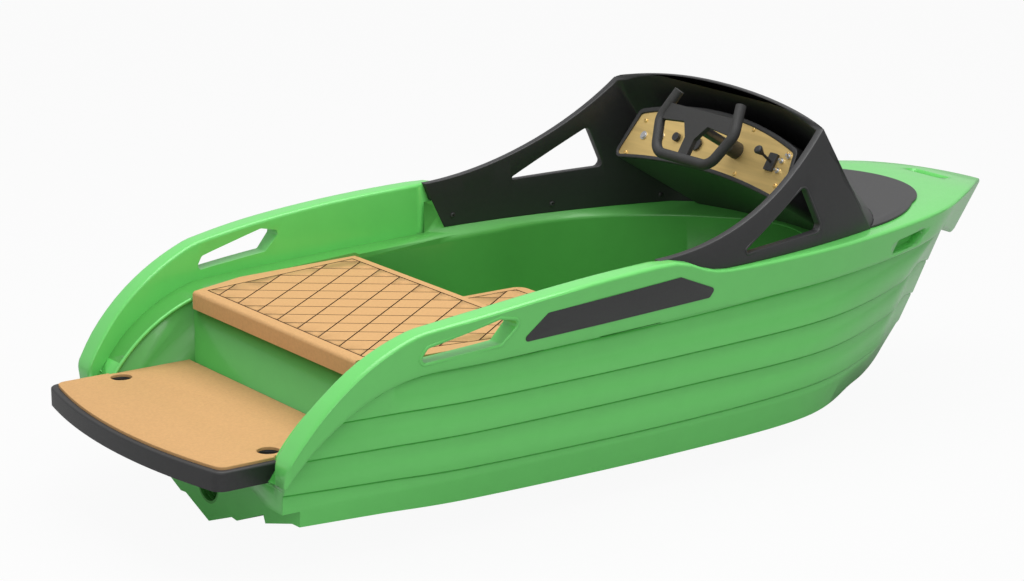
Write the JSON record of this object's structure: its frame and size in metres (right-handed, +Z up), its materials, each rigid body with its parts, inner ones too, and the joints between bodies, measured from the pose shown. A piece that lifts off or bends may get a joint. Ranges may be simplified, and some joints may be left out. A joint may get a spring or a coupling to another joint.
{
  "type": "jet boat",
  "caption": "Small electric jet boat with a V-bottomed planked hull, open cockpit, wrap-around cowl, swim platform, yoke steering and a steered water jet.",
  "frame": {"origin": "on the waterline and the centreline, at the transom of the running bottom", "axes": "+X to the bow, +Y to port, +Z up; metres"},
  "size_m": [3.0119, 1.2516, 0.9842],
  "materials": {
    "hull_gelcoat": "glossy green gelcoat, planked sides",
    "deck_gelcoat": "glossy green gelcoat",
    "cowl_black": "satin black moulded shell",
    "black_plastic": "matt black moulded plastic",
    "tan_foam": "closed-cell foam matting with cut grooves",
    "brass_panel": "brushed brass-coloured sheet",
    "silver": "satin silver",
    "dark_metal": "dark anodised metal",
    "side_plate": "satin black raised plate, blank",
    "drive_metal": "cast and machined metal",
    "case_black": "painted case"
  },
  "bodies": {
    "root": {"hull": "hull_gelcoat", "deck_moulding": "deck_gelcoat", "cowl": "cowl_black", "hump": "deck_gelcoat", "seat_panel": "deck_gelcoat", "seat_mat": "tan_foam", "hump_pad": "tan_foam", "platform": "black_plastic", "platform_mat": "tan_foam", "deck_patch": "black_plastic", "dash": "cowl_black", "dash_panel": "brass_panel", "dash_rim": "black_plastic", "push_buttons": "silver", "selector_knob": "black_plastic", "gauge": "black_plastic", "switches": "silver", "throttle_base": "black_plastic", "throttle_lever": "dark_metal", "column_bearing": "black_plastic", "side_plate_port": "side_plate", "side_plate_starboard": "side_plate", "tunnel_liner": "black_plastic", "stator": "drive_metal", "intake_grate": "dark_metal", "motor_block": "case_black", "battery_block": "case_black"},
    "steering": {"steering_column": "dark_metal", "steering_wheel": "black_plastic"},
    "nozzle": {"steering_nozzle": "drive_metal"},
    "impeller_shaft": {"impeller": "drive_metal", "drive_shaft": "drive_metal"}
  },
  "joints": [
    {"name": "wheel_turn", "type": "hinge", "parent": "root", "child": "steering", "pos_m": [1.67605, -0.118, 0.66], "axis": [-0.8572, 0, 0.515], "range_deg": [-90, 90]},
    {"name": "nozzle_turn", "type": "hinge", "parent": "root", "child": "nozzle", "pos_m": [0.112, 0, -0.034], "axis": [0, 0, 1], "range_deg": [-15, 15]},
    {"name": "impeller_spin", "type": "hinge", "parent": "root", "child": "impeller_shaft", "pos_m": [0.207, 0, -0.034], "axis": [1, 0, 0], "continuous": true}
  ],
  "couplings": [
    {"joint": "nozzle_turn", "follows": "wheel_turn", "ratio": -0.1666}
  ]
}
